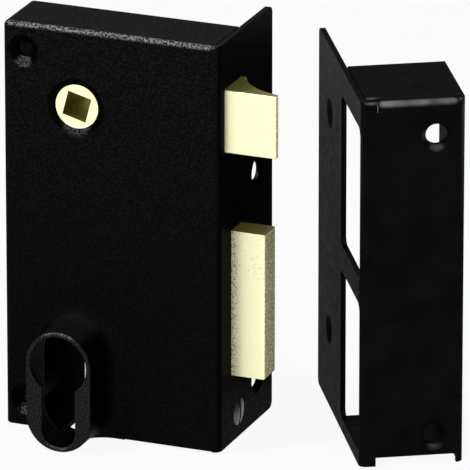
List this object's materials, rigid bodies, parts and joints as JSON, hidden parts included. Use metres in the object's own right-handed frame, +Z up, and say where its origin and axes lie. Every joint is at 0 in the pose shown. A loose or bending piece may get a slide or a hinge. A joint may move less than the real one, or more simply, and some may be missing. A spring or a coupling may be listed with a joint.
{
  "type": "rim box lock",
  "caption": "Surface-mounted box lock with a sprung latch bolt, a key-thrown deadbolt, a profile-cylinder boss, a square follower and a separate strike box.",
  "frame": {"origin": "axis of the profile cylinder where it meets the door face of the case", "axes": "+X towards the forend and bolts, +Y into the door, +Z up"},
  "size_m": [0.129, 0.0794, 0.1208],
  "materials": {
    "case_paint": "crackle black stoving enamel",
    "strike_paint": "satin black paint",
    "brass": "pale milled brass",
    "zinc_steel": "zinc-plated steel",
    "spring_steel": "oiled spring steel"
  },
  "bodies": {
    "case": {"case_shell": "case_paint", "back_plate": "zinc_steel", "mounting_tubes": "zinc_steel", "spacer_pillars": "zinc_steel", "case_screws": "zinc_steel", "follower_stop_pin": "zinc_steel", "latch_spring": "spring_steel", "spring_bracket": "zinc_steel", "lever_pivot": "zinc_steel", "lever_clip": "spring_steel", "bolt_guide_stud": "zinc_steel", "bolt_spring": "spring_steel", "plate_rivets": "zinc_steel", "cylinder_screw": "zinc_steel", "strike_box": "strike_paint"},
    "follower": {"follower": "brass"},
    "latch": {"latch_head": "brass", "latch_tail": "brass", "latch_rivets": "zinc_steel"},
    "deadbolt": {"deadbolt_head": "brass", "deadbolt_tail": "brass", "deadbolt_rivets": "zinc_steel"},
    "lever": {"latch_lever": "zinc_steel"}
  },
  "joints": [
    {"name": "follower_turn", "type": "hinge", "parent": "case", "child": "follower", "pos_m": [0, 0, 0.072], "axis": [0, -1, 0], "range_deg": [0, 46]},
    {"name": "latch_slide", "type": "slide", "parent": "case", "child": "latch", "axis": [-1, 0, 0], "range_m": [0, 0.01406], "stiffness_N_per_m": 300, "springref_m": -0.02, "deforming": ["latch_spring"]},
    {"name": "deadbolt_slide", "type": "slide", "parent": "case", "child": "deadbolt", "axis": [-1, 0, 0], "range_m": [0, 0.01], "deforming": ["bolt_spring"]},
    {"name": "lever_turn", "type": "hinge", "parent": "case", "child": "lever", "pos_m": [0.02, 0, -0.014], "axis": [0, -1, 0], "range_deg": [0, 11.1]}
  ],
  "couplings": [
    {"joint": "follower_turn", "follows": "latch_slide", "rad_per_m": 57.085},
    {"joint": "lever_turn", "follows": "latch_slide", "rad_per_m": 13.654}
  ]
}
